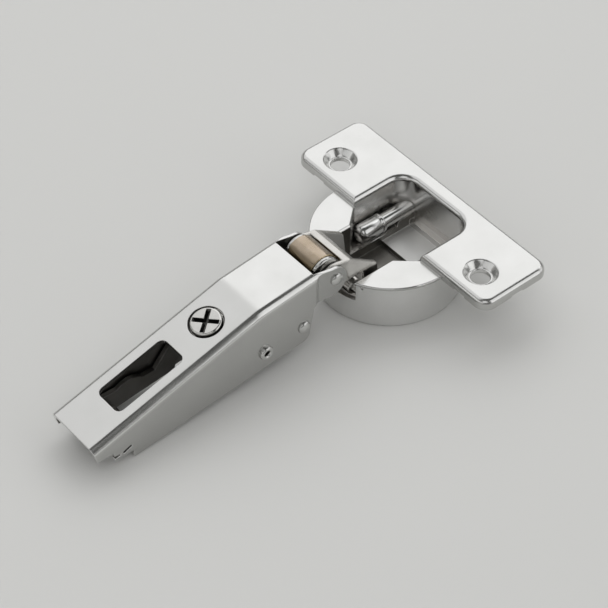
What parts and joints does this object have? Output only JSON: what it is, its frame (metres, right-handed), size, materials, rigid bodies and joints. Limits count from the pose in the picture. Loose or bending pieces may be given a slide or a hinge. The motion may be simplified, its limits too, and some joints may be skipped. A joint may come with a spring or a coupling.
{
  "type": "concealed cabinet hinge",
  "caption": "Concealed cup hinge for a cabinet door: drawn cup with screw flange, folding links, rolled closing spring, soft-close dampers and a clip-on arm with adjusting screw.",
  "frame": {"origin": "on the cup's axis, level with the door face that the flange sits on", "axes": "+X along the flange, +Y from the arm's tail to the flange, +Z out of the door"},
  "size_m": [0.0648, 0.1081, 0.0226],
  "materials": {
    "polished_nickel": "polished nickel plate on steel",
    "link_nickel": "barrel-plated nickel on stamped steel",
    "pin_steel": "bright riveted steel",
    "damper_steel": "bright drawn steel",
    "screw_nickel": "nickel plate",
    "tempered_spring_strip": "brown tempered spring strip",
    "spring_wire": "bright spring wire"
  },
  "bodies": {
    "cup": {"hinge_cup": "polished_nickel", "inner_link_cup_pin": "pin_steel", "outer_link_cup_pin_left": "pin_steel", "outer_link_cup_pin_right": "pin_steel", "damper_rod_left": "damper_steel", "damper_rod_right": "damper_steel"},
    "outer_link": {"outer_link": "link_nickel"},
    "inner_link": {"inner_link": "link_nickel"},
    "arm": {"hinge_arm": "polished_nickel", "knuckle_pin": "pin_steel", "inner_link_arm_pin": "pin_steel", "carrier_pivot_pin": "pin_steel", "closing_spring": "tempered_spring_strip"},
    "side_screw": {"side_adjusting_screw": "screw_nickel"},
    "carrier": {"clip_carrier": "link_nickel", "lever_pin": "pin_steel", "lever_spring": "spring_wire"},
    "lever": {"release_lever": "link_nickel"},
    "damper_left": {"damper_sleeve_left": "damper_steel"},
    "damper_right": {"damper_sleeve_right": "damper_steel"}
  },
  "joints": [
    {"name": "outer_link_swing", "type": "hinge", "parent": "cup", "child": "outer_link", "pos_m": [0, -0.0102, -0.0056], "axis": [-1, 0, 0], "range_deg": [0, 118.5]},
    {"name": "inner_link_swing", "type": "hinge", "parent": "cup", "child": "inner_link", "pos_m": [0, -0.0137, -0.0047], "axis": [-1, 0, 0], "range_deg": [0, 123.2]},
    {"name": "arm_swing", "type": "hinge", "parent": "outer_link", "child": "arm", "pos_m": [0, -0.0219, 0.0053], "axis": [-1, 0, 0], "range_deg": [-26.6, 0]},
    {"name": "side_screw_turn", "type": "hinge", "parent": "arm", "child": "side_screw", "pos_m": [0, -0.0525, 0.00615], "axis": [0, -0.2525, 0.9676], "range_deg": [-120, 120]},
    {"name": "carrier_tilt", "type": "hinge", "parent": "arm", "child": "carrier", "pos_m": [0, -0.0423, -0.004], "axis": [-1, 0, 0], "range_deg": [-1.2, 1.2]},
    {"name": "lever_press", "type": "hinge", "parent": "carrier", "child": "lever", "pos_m": [0, -0.0798, -0.0064], "axis": [-1, 0, 0], "range_deg": [0, 6], "stiffness_Nm_per_rad": 0.02, "springref_deg": -5.73},
    {"name": "damper_left_push", "type": "slide", "parent": "cup", "child": "damper_left", "axis": [0, 1, 0], "range_m": [0, 0.0034], "stiffness_N_per_m": 200, "springref_m": -0.002},
    {"name": "damper_right_push", "type": "slide", "parent": "cup", "child": "damper_right", "axis": [0, 1, 0], "range_m": [0, 0.0034], "stiffness_N_per_m": 200, "springref_m": -0.002}
  ],
  "couplings": [
    {"joint": "inner_link_swing", "follows": "outer_link_swing", "ratio": 1.039},
    {"joint": "arm_swing", "follows": "outer_link_swing", "ratio": -0.2236},
    {"joint": "side_screw_turn", "follows": "carrier_tilt", "ratio": 93.3}
  ]
}
